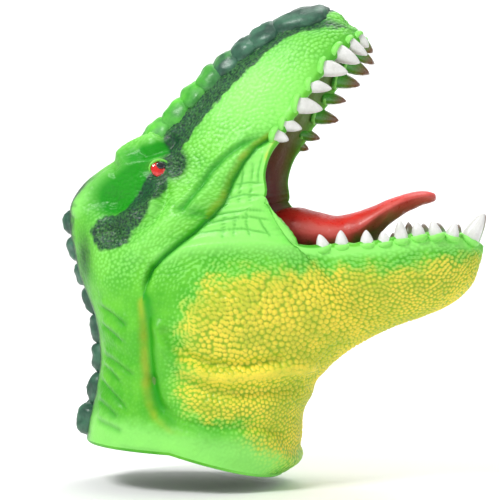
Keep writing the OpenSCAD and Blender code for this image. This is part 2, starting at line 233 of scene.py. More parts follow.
def waves(points, size, salt):
    """Smooth value noise in space, from -1 to 1."""
    q = points / size
    base = np.floor(q).astype(np.int64)
    f = q - base
    f = f * f * (3 - 2 * f)
    total = np.zeros(len(q))
    for dx in (0, 1):
        for dy in (0, 1):
            for dz in (0, 1):
                w = np.abs(1 - dx - f[:, 0]) * np.abs(1 - dy - f[:, 1]) * np.abs(1 - dz - f[:, 2])
                total += w * cell_hash(base + np.array([dx, dy, dz]), salt)
    return 2 * total - 1


# ---------------------------------------------------------------- features of the side view
BROW = [(-25, 117), (-22, 121.5), (-16.5, 125), (-11, 125.5), (-7.5, 128.5)]
LID = [(-25, 113), (-19, 116), (-13, 118.2), (-8, 118.6), (-3.5, 116.5)]
HOLLOW_RIM = [(-43, 97), (-40.5, 102.5), (-36, 108), (-30, 112), (-25, 113.5)]
EYE_BELT = [(-7.5, 110.5), (-10, 106.5), (-12.8, 101.8), (-16, 97.5), (-21, 94.2), (-26, 91.5)]
CHEEK_BAND = [(32, 126), (25, 119), (17.5, 112), (11, 104.5), (3.5, 98), (-3, 92), (-12, 85), (-19, 80)]
CREASE_1 = [
    (35.5, 128), (27, 124), (21, 119.5), (15.5, 114), (12, 108.5), (9, 103.5), (5.5, 100), (1.5, 98.5)
]
CREASE_2 = [
    (38, 127.5), (32.5, 123.5), (28, 118), (23.5, 110.5), (20.5, 102), (15, 96), (9.5, 91), (3.5, 86),
    (-2, 81.5), (-7, 77), (-9.5, 71), (-10.3, 64)
]
GROOVE = [
    (-10.3, 64), (-9.5, 53.5), (-9, 43), (-8.7, 32.5), (-7.5, 26.5), (-4.5, 20.5), (1, 16), (8, 14), (18, 13)
]
JOWL_TOP = [(-3, 81), (5, 84.5), (15, 86), (25, 86.5), (34, 86.3), (43, 85.5), (51, 84)]
FOLD_1 = [(-4, 54), (-1, 48), (3, 42), (8, 38.2), (14, 36.4), (22, 35.6), (30, 36.2), (40, 38), (51, 39)]
FOLD_2 = [(-5, 45), (-2, 38.5), (3, 32.5), (10, 27.5), (18, 25), (27, 24.2), (37, 25), (47, 27)]
FOLD_3 = [(-7, 34), (-4, 25), (2, 19.5), (11, 16.8), (22, 16), (33, 17), (40, 13.5), (43, 6)]
NAPE_WRINKLES = [
    [(-30, 62), (-24, 59), (-16.5, 54.5)], [(-30, 55), (-24, 52), (-18, 48)],
    [(-30, 43), (-22, 40), (-13.5, 35.5)], [(-30, 38.5), (-25, 36.5), (-20, 32.5)],
    [(-31, 33.5), (-24, 28.5), (-16.5, 22.5)], [(-31, 25), (-26, 22.5), (-21, 19)],
    [(-32, 17.5), (-26, 16), (-18.5, 14)]
]
WEB_LINES = [
    [(14, 96.5), (22, 98.5), (30, 99.5), (36.5, 99)], [(12, 93.5), (22, 96), (31, 96.8), (39, 95.5)],
    [(9, 90), (18, 91.5), (28, 92.2), (40, 90)], [(22, 104), (28, 105.5), (35, 105)],
    [(24, 109), (30, 110), (35, 109.5)], [(21, 98), (20.5, 92.5), (20.5, 88)],
    [(25, 98.5), (25, 93), (24.5, 89)], [(29.5, 99), (29.5, 94), (31, 89)],
    [(28, 115), (26.5, 108), (26, 102)], [(31.5, 118), (30.5, 110), (30.5, 102)],
    [(34, 97), (36, 93), (39, 89)], [(35, 121), (33.5, 115), (33, 109)]
]
STRIPE = [
    (-3, 117), (-2.2, 123.5), (2, 130.2), (7, 137), (12.6, 143.6), (18.8, 149.9), (25.2, 156.4),
    (32, 162.2), (39.6, 167), (47.5, 169.8), (56, 170.8), (62, 170)
]
YELLOW_EDGE = [
    (-6, 44), (-4, 56), (0, 66), (5, 71.5), (11, 75), (18, 77.4), (28, 79), (43, 80), (58, 80),
    (73, 80), (88, 81), (103, 83.5), (116, 86)
]
TEMPLE = [(-15, 119.5), (-9, 121.5), (-4, 125), (-1, 129)]
# Forms of the head are [height, place, reach]: a pair of reaches makes a round bump at a point,
# a single one a ridge along a line, and a height below zero a hollow
HEAD_FORMS = [
    (1.8, LID, 1.9), (2.2, HOLLOW_RIM, 3.4), (-6.0, (-25.5, 104), (9.5, 6.5)), (-3.0, (-14, 108), (6, 5)),
    (-3.6, (-24.5, 91.5), (5.5, 4.2)), (1.2, (-19, 97.5), (4.5, 2.6)), (-1.8, EYE + (-0.5, 0.3), (5, 3.6)),
    (-2.0, TEMPLE, 1.9), (2.2, (-7.4, 102), (3.2, 3.4)),
    (-2.0, [(-3, 111), (-2.5, 106), (-3.5, 100), (-7, 95), (-13, 90.5), (-20, 86)], 2.2),
    (-1.3, (1.5, 116), (3.5, 4)), (2.4, CHEEK_BAND, 5.4), (2.4, (12.5, 102), (5.5, 3.6)),
    (-1.5, (11, 97.5), (4.5, 1.6)), (-2.2, CREASE_1, 1.7),
    (1.2, [(30, 126.5), (23, 122.5), (16, 116.5), (11.5, 110.5)], 2),
    (-1.5, [(24, 157), (36, 166.5), (48, 170.5), (58, 171)], 2.6), (-1.1, STRIPE[:7], 3.4)
]


def below(p, line):
    """Signed distance to a line that runs from left to right: positive underneath it."""
    d, side, _ = to_line(p, line)
    return -d * side


def head_forms(p, points, side):
    """Brow, eye socket, temple and cheek, as heights over the plain skin."""
    h = 4.4 * ridge(p, BROW, 4.4) * ease(np.abs(points[:, 1]), 4, 12)
    for height, place, reach in HEAD_FORMS:
        form = bump if isinstance(reach, tuple) else ridge
        h += height * form(p, place, reach) * side
    return h


def roll(p, line, width):
    """A soft ridge along a line that keeps its height to both ends."""
    return np.exp(-(to_line(p, line)[0] / width)**2)


def moved(line, dx, dz):
    return [(x + dx, z + dz) for x, z in line]


def neck_forms(p, side):
    """Jowl, its folds, the groove behind it and the wrinkles of the nape."""
    away, way, along = to_line(p, GROOVE)
    past = away * way
    fading = (1 - ease(along, 0.5, 0.9)) * ease(along, 0.0, 0.12)
    behind = ease(past, -1.5, 1.5)
    h = -2.0 * np.exp(-((past - 1.2) / 2.3)**2) * side * fading
    h += 1.6 * (1 - behind) * (1 - np.exp(-(away / 2.6)**2)) * np.exp(-(away / 16)**2) * side * fading
    h += 3.4 * bump(p, (22, 60), (25, 15)) * side
    h += 2.5 * roll(p, FOLD_1, 3.3) * (0.35 + 0.65 * side)
    h -= 1.9 * roll(p, moved(FOLD_1[1:-1], 0.5, 4.6), 1.9) * side
    h -= 1.3 * ridge(p, [(1, 36), (8, 32), (18, 30), (28, 29.5), (40, 31), (48, 33)], 2.8)
    h += 1.3 * roll(p, FOLD_2, 4.2)
    h -= 1.5 * roll(p, FOLD_3, 2.1)
    h += 0.9 * roll(p, moved(FOLD_3, 0, -4), 3)
    h += 1.7 * bump(p, (42, 1), (7, 6))
    for line in NAPE_WRINKLES:
        h -= 0.75 * ridge(p, line, 1.0) * side
        h += 0.7 * ridge(p, moved(line, 0.8, 2.4), 1.8) * side
    return h


def muzzle_forms(p, points):
    """Swollen nostrils at the tip of the snout."""
    width = np.abs(points[:, [1, 1]])
    h = 2.6 * bump(p, (60, 174.5), (6, 3.5)) * bump(width, (8, 8), (4.5, 99))
    h -= 2.6 * bump(p, (64.2, 171.6), (2.2, 1.4)) * bump(width, (7, 7), (2.4, 99))
    return h


def landmarks(points, lateral, mouth_edge, part):
    """What the relief, the paint and the pebbles all need to know about the points of a skin."""
    p = points[:, [0, 2]]
    m = SimpleNamespace(points=points, p=p, x=p[:, 0], z=p[:, 1], mouth_edge=mouth_edge, part=part)
    m.width = np.abs(points[:, 1])
    m.side = ease(np.abs(lateral), 0.25, 0.6)
    away, way, along = to_line(p, CREASE_2)
    m.past_crease = away * way
    m.web = ease(-below(p, JOWL_TOP), 0, 3) * ease(m.past_crease, 0, 2.5) * ease(m.width, 18, 23)
    m.web = m.web * ease(m.x, -4, 2) * ease(52 - m.x, 0, 8)
    m.crease = np.exp(-(away / 1.25)**2) * m.side * (1 - ease(along, 0.86, 1.0))
    m.jowl_roll = roll(p, JOWL_TOP, 3.2) * m.side * ease(56 - m.x, 0, 14)
    m.lines = np.zeros(len(p))
    for line in WEB_LINES:
        m.lines = np.maximum(m.lines, ridge(p, line, 0.42))
    away, way, along = to_line(p, GROOVE)
    m.past_groove = away * way
    m.groove_fade = 1 - ease(along, 0.5, 0.9)
    m.rag = waves(points, 2.4, 5) + 0.8 * waves(points, 1.1, 6)
    return m


def relief(m):
    """Height of the moulded features over the plain skin."""
    h = head_forms(m.p, m.points, m.side) + neck_forms(m.p, m.side) + muzzle_forms(m.p, m.points)
    h += 1.6 * m.jowl_roll - 2.8 * m.crease - 1.6 * m.web
    h -= 0.4 * m.lines * m.web
    fan = np.sin((m.z - 0.18 * m.x) * 2.6 + waves(m.points, 7, 3) * 2.2)
    h += 0.12 * fan * m.web
    h += 0.5 * waves(m.points, 14, 21) + 0.2 * waves(m.points, 6, 22) * (1 - m.web)
    return h


def side_dark(m):
    """Charcoal paint of the stripe over the snout and the belt under the eye."""
    away, way, _ = to_line(m.p, STRIPE)
    upward = away * way
    widths = 4.0 - 3.0 * ease(m.x, 34, 50)
    to_scutes = 4.2 + 6 * ease(m.x, 0, 12)
    dark = ease(widths + 1.4 + upward - 0.8 * m.rag, 0, 3.2)
    dark = dark * (1 - ease(upward + 0.8 * m.rag, to_scutes, to_scutes + 3))
    dark *= 1 - 0.45 * ease(m.x + m.rag, 42, 54)
    dark = dark * ease(m.x + 0.6 * m.z - 68, 0, 5)
    dark = np.maximum(dark, 1.35 * bump(m.p, (-0.3, 117.5), (4.6, 5)))
    dark = np.maximum(dark, 1 - ease(to_line(m.p, EYE_BELT)[0] + 0.6 * m.rag, 3.2, 6.4))
    blot = np.hypot((m.x + 25) / 8.4, (m.z - 91) / 6.8)
    dark = np.maximum(dark, 1 - ease(blot + 0.10 * m.rag, 0.7, 1.25))
    return dark * m.side * ease(m.x + 38, 0, 4) * (1 - 0.75 * bump(m.p, (-7.0, 101.5), (2.6, 3.4)))


def all_dark(m, dark):
    """The same with the paint that reaches down from the scutes of nape and snout."""
    spine = (1 - ease(m.width + 1.6 * m.rag, 7, 22)) * ease(-m.x, 26, 33) * (1 - ease(m.z, 104, 118))
    ridge_top = (1 - ease(m.width + 0.8 * m.rag, 9, 14)) * ease(m.z + 0.5 * m.rag, 150, 166)
    ridge_top *= 1 - ease(m.x + m.rag, 55, 61)
    spine = np.maximum(spine, 0.5 * bump(m.p + 0.5 * m.rag[:, None], (-37, 81), (5, 12)))
    return np.clip(np.maximum(np.maximum(dark, 0.9 * spine), 0.95 * ridge_top), 0, 1)


def yellow_paint(m):
    """Sprayed yellow of the jaw and the throat, with a ragged edge."""
    blotch = 2.2 * waves(m.points, 5, 7) + 1.6 * waves(m.points, 1.7, 9)
    yellow = ease(below(m.p, YELLOW_EDGE) + m.rag + blotch, -3, 12) * ease(m.x + 6 + m.rag + blotch, -1, 26)
    cuff_green = ease(-below(m.p, FOLD_3) + 1.6 * m.rag, -3, 9)
    yellow *= np.maximum(cuff_green, ease(m.x + 0.35 * m.z + 1.5 * m.rag, 22, 50))
    if m.part == "upper":
        yellow = yellow * ease(m.x + 3, 0, 3)
    return yellow * (0.45 + 0.55 * ease(m.z + m.rag, 2, 11))


def edge_paint(m):
    """Thin yellow lines in the groove, along the crease and on the edge of the web."""
    line = 0.6 * np.exp(-((m.past_groove + 1.0) / 1.2)**2) * m.side * m.groove_fade
    line += 0.45 * np.exp(-((m.past_crease + 1.3) / 0.8)**2) * (m.x > 14) * m.side
    line += (1 - ease(m.mouth_edge, 0.3, 1.1)) * ease(m.z, 88, 94) * (1 - ease(m.z, 126, 134))
    return np.clip(line * (0.6 + 0.5 * waves(m.points, 3, 31)), 0, 1)


def deep_green(m):
    """Painted shade: deeper green in the hollows, the creases, the groove and the wrinkles of the nape."""
    p = m.p
    deep = 1.5 * bump(p, (-26, 105), (9.5, 8)) + 0.9 * bump(p, (-15, 113), (9, 4)) + bump(p, (-13, 108), (6, 5))
    deep += 1.3 * ridge(p, TEMPLE, 2.4)
    deep += 0.9 * bump(p, (-16, 119.5), (7.5, 3.6))
    groove = 0.8 * np.exp(-((m.past_groove - 2.2) / 2.4)**2) * m.groove_fade
    deep += m.crease + 0.8 * ridge(p, CREASE_1, 1.7) + groove + 0.6 * m.lines * m.web
    deep += 0.4 * ridge(p, moved(STRIPE, 0, 0.5), 6)
    deep += 0.6 * bump(p, (11, 97.5), (5, 2))
    for line in NAPE_WRINKLES:
        deep = deep + 0.45 * ridge(p, line, 1.3)
    return np.clip(deep * m.side, 0, 1)


def pale_green(m):
    """Paler green: painted highlight on the rolls, the cheek band and the ridges of brow, lid and socket rim;
    paler green also on the web, the side of the snout, along the lower lip and towards the cuff.
    """
    p = m.p
    pale = 0.9 * m.web + 0.8 * m.jowl_roll + 0.35 * ridge(p, CHEEK_BAND, 5) + 0.5 * ridge(p, BROW, 4)
    pale += 0.9 * ridge(p, HOLLOW_RIM, 3) + 0.6 * ridge(p, LID, 1.6) + 0.5 * bump(p, (-7.2, 100.5), (3, 3))
    pale += 0.9 * (1 - ease(m.mouth_edge, 2, 7)) * (m.part == "lower") + 0.95 * bump(p, (30, 146), (26, 19))
    pale += 0.8 * (1 - ease(m.z + 0.15 * m.x + m.rag, 11, 20)) + 0.2 * bump(p, (-30, 92), (14, 26))
    return np.clip(pale * m.side, 0, 1)


def pebble_plan(m, dark, yellow, deep):
    """Pebbles are round and raised on the jowl, small and low on the head, and none on the lips."""
    on_jowl = yellow * ease(m.mouth_edge, 3, 7)
    on_head = (1 - m.web) * (1 - ease(-m.x, 24, 36)) * ease(m.z, 64, 84) * ease(m.mouth_edge, 1, 4)
    on_head = on_head * (1 - on_jowl) * (1 - 0.6 * deep) * (1 - 0.7 * m.jowl_roll)
    socket = bump(m.p, (-24, 104), (12, 9))
    on_belt = np.clip(np.maximum(dark, socket), 0, 1) * m.side * (m.z < 122)
    middle = np.exp(-(((m.x - 44) / 34)**2 + ((m.z - 58) / 22)**2))
    on_crest = roll(m.p, FOLD_1, 2.2) * m.side
    on_neck = (1 - m.web) * (1 - on_jowl) * (1 - on_head) * ease(m.mouth_edge, 1, 4) * (1 - 0.8 * deep)
    amount = (0.58 + 0.44 * middle) * (1 - 0.7 * on_crest) * on_jowl
    amount += 0.32 * on_head + 0.36 * on_belt + 0.11 * on_neck
    gap = 1.35 + 0.5 * on_jowl * middle - 0.1 * on_jowl
    return {"gap": gap, "amount": amount, "spread": (0.25 * middle + 0.4 * on_crest) * on_jowl}


# ---------------------------------------------------------------- skins
def ring_grid(rows, places, angles):
    """Points of the open cross-sections at those places, one row of points for each."""
    s = smooth(rows, places)
    across, up = rounded(angles)
    x = s[:, 2:3] + (s[:, 0:1] - s[:, 2:3]) * up
    z = s[:, 3:4] + (s[:, 1:2] - s[:, 3:4]) * up
    y = s[:, 4:5] * across
    return np.stack([x, y, z], -1)


def grid_quads(rows, cols, start=0):
    i, j = np.meshgrid(np.arange(rows - 1), np.arange(cols - 1), indexing="ij")
    a = start + i * cols + j
    return np.stack([a, a + 1, a + cols + 1, a + cols], -1).reshape(-1, 4)


def grid_normals(grid):
    u = np.gradient(grid, axis=0)
    v = np.gradient(grid, axis=1)
    n = np.cross(v, u)
    return n / np.maximum(np.linalg.norm(n, axis=-1, keepdims=True), 1e-9)


def mouth_profile(part, t, last):
    """How deep the lining lies, and which way, for the ring at place t past the corner of the mouth."""
    f = np.clip((t - SHARED) / (last - SHARED), 0, 1)
    shallow = PALATE if part == "upper" else FLOOR
    depth = BACK_OF_MOUTH + (shallow - BACK_OF_MOUTH) * ease(f, 0.0, 0.33)
    return depth * (1 - ease(f, 0.72, 1.0)) + 0.3, ease(f, 0.0, 0.3)


def calm_corner(outer, places, angles):
    """The turn of the rings at the corner of the mouth spreads out, between the edge and the crown."""
    calm = outer.copy()
    for _ in range(90):
        calm[1:-1] = 0.25 * calm[:-2] + 0.5 * calm[1:-1] + 0.25 * calm[2:]
    up = rounded(angles)[1]
    across = ease(up, 0.02, 0.22) * (1 - ease(up, 0.5, 0.8))
    share = np.exp(-((places - SHARED) / 2.5)**2)[:, None] * across[None, :]
    return outer + (calm - outer) * share[..., None]


def plain_skin(part, rows):
    """The rings of a skin without its relief, and the relief, paint and pebbles planned for it."""
    shared = even_places(UPPER, 0, SHARED, SPACING)
    ahead = even_places(rows, SHARED, len(rows) - 1, SPACING)[1:]
    places = np.concatenate([shared, ahead])
    angles = np.linspace(0, math.pi, ARC_COLS)
    outer = calm_corner(ring_grid(rows, places, angles), places, angles)
    normal = grid_normals(outer)
    i, j = len(shared) // 2, ARC_COLS // 2
    if normal[i, j, 0] * (-1 if part == "upper" else 1) < 0:
        normal = -normal
    winding = np.cross(outer[i, j + 1] - outer[i, j], outer[i + 1, j] - outer[i, j])
    flip = normal[i, j] @ winding < 0
    # along the shared edge and the mouth's edge the skin faces sideways
    normal[:, 0] = (0, 1, 0)
    normal[:, -1] = (0, -1, 0)
    s = smooth(rows, places)
    reach = np.hypot(s[:, 0] - s[:, 2], s[:, 1] - s[:, 3])
    edge_gap = reach[:, None] * rounded(angles)[1][None, :]
    past = places[:, None] - SHARED
    mouth_edge = np.where(past > 0, edge_gap + 12 * (1 - ease(past, 0, 1.6)), 99.0)
    m = landmarks(outer.reshape(-1, 3), normal[..., 1].ravel(), mouth_edge.ravel(), part)
    dark, yellow, deep = side_dark(m), yellow_paint(m), deep_green(m)
    mask = {"dark": all_dark(m, dark), "yellow": yellow, "deep": deep, "pale": pale_green(m),
            "edge_paint": edge_paint(m)}
    return SimpleNamespace(
        part=part, last=len(rows) - 1, shared=len(shared), places=places, outer=outer, normal=normal, flip=flip,
        stations=s, edge_gap=edge_gap, points=m.points, h=relief(m), mask=mask,
        plan=pebble_plan(m, dark, yellow, deep))


def add_pebbles(plains):
    """Both skins get their pebbles in one go, so that these run on across the cheek."""
    points = np.concatenate([plain.points for plain in plains])
    plan = {key: np.concatenate([plain.plan[key] for plain in plains]) for key in plains[0].plan}
    height = pebbles(points, plan["gap"], plan["amount"] > 0.02)
    first = 0
    for plain in plains:
        own = slice(first, first + len(plain.points))
        first = own.stop
        amount = plan["amount"][own]
        plain.h = plain.h + amount * (height[own] - 0.25)
        plain.mask["pebble"] = height[own] * np.clip(amount / 0.26, 0, 1) + plan["spread"][own]


def raised(plain):
    """The rings with their relief, which fades out over the lip, at the tip and at the cuff."""
    places = plain.places
    fade = 1 - (1 - ease(plain.edge_gap, 0.0, 2.5)) * ease(places - SHARED, 0.2, 1.6)[:, None]
    fade = fade * ease(plain.last - places, 0.0, 1.0)[:, None]
    fade = fade * ease(places, 0.0, 0.25)[:, None]
    h = plain.h.reshape(plain.outer.shape[:2])
    return plain.outer + plain.normal * (h * fade)[..., None]


def unit_rows(v):
    return v / np.linalg.norm(v, axis=1, keepdims=True)


def lining_rings(plain, outer, ahead):
    """Lip and lining of the mouth: a ring inside each ring of the skin past the mouth's corner."""
    t = plain.places[ahead]
    s = plain.stations[ahead]
    level = np.zeros(len(t))
    out = unit_rows(np.stack([s[:, 2] - s[:, 0], level, s[:, 3] - s[:, 1]], -1))
    depth, turn = mouth_profile(plain.part, t, plain.last)
    away = unit_rows(BACKWARD + (-out - BACKWARD) * turn[:, None])
    half = s[:, 4]
    lip = np.minimum(WEB_R + (LIP_R - WEB_R) * ease(t - SHARED, 1.2, 2.6), half * 0.42)
    edge = np.stack([s[:, 2], level, s[:, 3]], -1)
    rim_angle = np.linspace(0, math.pi, RIM_COLS)[1:]
    across, up = rounded(np.linspace(0, math.pi, INNER_COLS)[1:-1], 2.4)
    pinch = 1 - 0.15 * ease(up, 0.0, 0.35)
    sideways = half[:, None] * np.array([0, 1, 0])
    pulled_left = outer[ahead, 0] - edge - sideways
    pulled_right = outer[ahead, -1] - edge + sideways
    loops = []
    for k in range(len(t)):
        left = edge[k] + np.outer(np.sin(rim_angle) * lip[k] * 1.1, out[k])
        left[:, 1] = half[k] - lip[k] + lip[k] * np.cos(rim_angle)
        right = left[::-1] * (1, -1, 1)
        lining = edge[k] + np.outer(up * depth[k], away[k])
        lining[:, 1] = max(half[k] - 2 * lip[k], 0.1) * across * pinch
        lining += np.outer((1 + across) / 2, pulled_left[k]) + np.outer((1 - across) / 2, pulled_right[k])
        loops.append(np.concatenate([left + pulled_left[k], lining, right + pulled_right[k]]))
    inner = np.array(loops)
    gums(inner, outer[ahead[0]:], plain.part)
    rugae = 0.35 * np.sin(t * 9.0)[:, None] * np.ones(inner.shape[1])
    middle = np.zeros(inner.shape[1])
    middle[RIM_COLS + 4:-RIM_COLS - 4] = 1
    inner += away[:, None, :] * (rugae * middle * ease(t - SHARED, 2.5, 4)[:, None])[..., None]
    return inner


def skin_quads(rows, ahead, cols):
    """Faces of the skin, of its lining, and of the strips that join them along both lips."""
    first = rows * ARC_COLS
    faces = [grid_quads(rows, ARC_COLS), grid_quads(len(ahead), cols, first)[:, ::-1]]
    for col, end in ((0, 0), (ARC_COLS - 1, cols - 1)):
        a = ahead[:-1] * ARC_COLS + col
        b = first + np.arange(len(ahead) - 1) * cols + end
        strip = np.stack([a, a + ARC_COLS, b + cols, b], -1)
        faces.append(strip[:, ::-1] if end else strip)
    return np.concatenate(faces)


def build_skin(plain):
    """Vertices, faces and masks of a skin with its lip and the lining of the mouth."""
    outer = raised(plain)
    ahead = np.arange(plain.shared - 1, len(plain.places))
    inner = lining_rings(plain, outer, ahead)
    rows, cols = len(outer), inner.shape[1]
    vertices = np.concatenate([outer.reshape(-1, 3), inner.reshape(-1, 3)])
    faces = skin_quads(rows, ahead, cols)
    # the tip of the snout or chin closes with a fan between the last rings
    n_outer = rows * ARC_COLS
    centre = len(vertices)
    loop = np.concatenate([np.arange(n_outer - ARC_COLS, n_outer), np.arange(centre - cols, centre)[::-1]])
    vertices = np.concatenate([vertices, vertices[loop].mean(0, keepdims=True)])
    tip = np.stack([np.full(len(loop), centre), np.roll(loop, -1), loop], -1)
    if plain.flip:
        faces = faces[:, ::-1]
        tip = tip[:, ::-1]
    masks = {name: np.concatenate([plain.mask[name], np.zeros(centre - n_outer + 1)]) for name in plain.mask}
    none = np.zeros(n_outer)
    masks["lining"] = np.concatenate([none, lining_mask(inner.shape[:2]).ravel(), [0.0]])
    place = np.repeat(plain.places[ahead], cols)
    masks["depth"] = np.concatenate([none, 1 - ease(place - SHARED, 1.0, 4.5), [0.0]])
    return SimpleNamespace(vertices=vertices, faces=faces, tip=tip, masks=masks)


def lining_mask(shape):
    rows, cols = shape
    across = np.minimum(np.arange(cols), np.arange(cols)[::-1])
    return np.tile(ease(across, 2.5, RIM_COLS + 1), (rows, 1))


def tooth_bases(part):
    """Where each tooth meets its lip, from the frame: [x, y, z, radius] in millimetres."""
    found = []
    for name in sorted(frame["nodes"]):
        if name.startswith(part + "_tooth_"):
            root, _, radius = tooth_axis(name)
            found.append([*root, radius])
    return np.array(found)


def tooth_axis(name):
    """Root, tip and radius of a tooth, from the vertices of its CAD node."""
    mesh = frame["nodes"][name].data
    co = np.zeros(len(mesh.vertices) * 3)
    mesh.vertices.foreach_get("co", co)
    co = np.unique(co.reshape(-1, 3).round(7), axis=0) / MM
    lean = co - co.mean(0)
    axis = np.linalg.eigh(lean.T @ lean)[1][:, -1]
    axis = axis * np.sign(axis @ TOOTH_WAY[name.split("_")[0]])
    along = lean @ axis
    near = co[along < along.min() + 0.28 * np.ptp(along)]
    far = co[along > along.max() - 0.12 * np.ptp(along)]
    radius = 0.5 * np.ptp(near[:, 1]) / 0.85
    return near.mean(0), far.mean(0), radius


def gums(inner, outer, part):
    """The lip swells into a collar round the root of each tooth, on both of its sides."""
    bases = tooth_bases(part)
    for grid, cols in ((inner, RIM_COLS + 6), (outer, 14)):
        for edge in (slice(0, cols), slice(grid.shape[1] - cols, None)):
            near = grid[:, edge]
            lift = np.zeros(near.shape[:2])
            for x, y, z, r in bases:
                d = np.linalg.norm(near - np.array([x, y, z]), axis=-1)
                lift = np.maximum(lift, 1.1 * np.exp(-(d / (r + 1.5))**2))
            near += OUTWARD[part] * lift[..., None]


# Which way a lip swells round its teeth, and roughly which way the teeth point
OUTWARD = {"upper": np.array([0.8, 0, -0.55]), "lower": np.array([0.0, 0, 1.0])}
TOOTH_WAY = {"upper": np.array([0.75, 0, -0.25]), "lower": np.array([0.1, 0, 1.0])}


def new_mesh(name, vertices, faces, extra=()):
    mesh = bpy.data.meshes.new(name)
    mesh.from_pydata((np.asarray(vertices) * MM).tolist(), [], [*np.asarray(faces).tolist(), *extra])
    mesh.polygons.foreach_set("use_smooth", np.ones(len(mesh.polygons), bool))
    mesh.update()
    obj = bpy.data.objects.new(name, mesh)
    bpy.context.scene.collection.objects.link(obj)
    return obj


def add_masks(obj, masks):
    for name, values in masks.items():
        layer = obj.data.attributes.new(name, "FLOAT", "POINT")
        layer.data.foreach_set("value", np.asarray(values, np.float32))


def skin_masks(count, **given):
    """The masks of the skin's paint for a small piece: all zero, apart from the given ones."""
    names = ("dark", "yellow", "deep", "pale", "pebble", "edge_paint", "lining", "depth")
    return {**{name: np.zeros(count) for name in names}, **given}


def settle(obj, material, body, slot, *nodes):
    """Paint of a rigid piece, the body that it rides, its slot, which is not used, and the CAD nodes it stands
    for.
    """
    obj.data.materials.append(material)
    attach(obj, body)
    if nodes:
        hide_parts(*nodes)


# ---------------------------------------------------------------- materials
class Nodes:
    """Small helper that builds a node material line by line."""

    def __init__(self, name):
        self.material = bpy.data.materials.new(name)
        self.material.use_nodes = True
        self.tree = self.material.node_tree

    def fill(self, node, inputs):
        """Sets inputs of a node, each to a number, a colour or the output of another node."""
        for key, value in inputs.items():
            if isinstance(value, tuple):
                node.inputs[key].default_value = (*value, 1.0)
            elif isinstance(value, (int, float)):
                node.inputs[key].default_value = value
            else:
                self.tree.links.new(value, node.inputs[key])

    def add(self, kind, output, inputs, **settings):
        """The output of a new node."""
        made = self.tree.nodes.new(kind)
        for key, value in settings.items():
            setattr(made, key, value)
        self.fill(made, inputs)
        return made.outputs[output]

    def attribute(self, name):
        return self.add("ShaderNodeAttribute", "Fac", {}, attribute_name=name)

    def position(self):
        return self.add("ShaderNodeTexCoord", "Object", {})

    def noise(self, scale, detail=4.0, roughness=0.55):
        inputs = {"Scale": scale, "Detail": detail, "Roughness": roughness, "Vector": self.position()}
        return self.add("ShaderNodeTexNoise", "Fac", inputs)

    def cells(self, scale):
        return self.add("ShaderNodeTexVoronoi", "Distance", {"Scale": scale, "Vector": self.position()})

    def spread(self, value, low, high, to_low=0.0, to_high=1.0):
        """Turns low to high, smoothly, into to_low to to_high."""
        inputs = {"Value": value, "From Min": low, "From Max": high, "To Min": to_low, "To Max": to_high}
        return self.add("ShaderNodeMapRange", "Result", inputs, interpolation_type="SMOOTHSTEP")

    def cloud(self, scale, detail, *limits):
        """Noise, spread between limits."""
        return self.spread(self.noise(scale, detail), *limits)

    def times(self, a, b):
        return self.add("ShaderNodeMath", 0, {0: a, 1: b}, operation="MULTIPLY", use_clamp=True)

    def mix(self, factor, a, b):
        return self.add("ShaderNodeMix", 2, {0: factor, 6: a, 7: b}, data_type="RGBA")

    def bump(self, height, strength, distance, under=None):
        inputs = {"Strength": strength, "Distance": distance, "Height": height}
        if under is not None:
            inputs["Normal"] = under
        return self.add("ShaderNodeBump", "Normal", inputs)

    def finish(self, colour, roughness, normal, specular=0.5, coat=0.0, coat_roughness=0.3):
        self.fill(self.tree.nodes["Principled BSDF"], {
            "Base Color": colour, "Roughness": roughness, "Normal": normal, "Specular IOR Level": specular,
            "Coat Weight": coat, "Coat Roughness": coat_roughness})
        return self.material


PALE = (0.32, 0.88, 0.18)
SHADE_GREEN = (0.001, 0.27, 0.002)
CHARCOAL = (0.005, 0.028, 0.016)
YELLOW = (0.84, 0.69, 0.06)
YELLOW_GREEN = (0.33, 0.45, 0.02)
MAROON = (0.14, 0.035, 0.03)
OLIVE = (0.10, 0.19, 0.045)


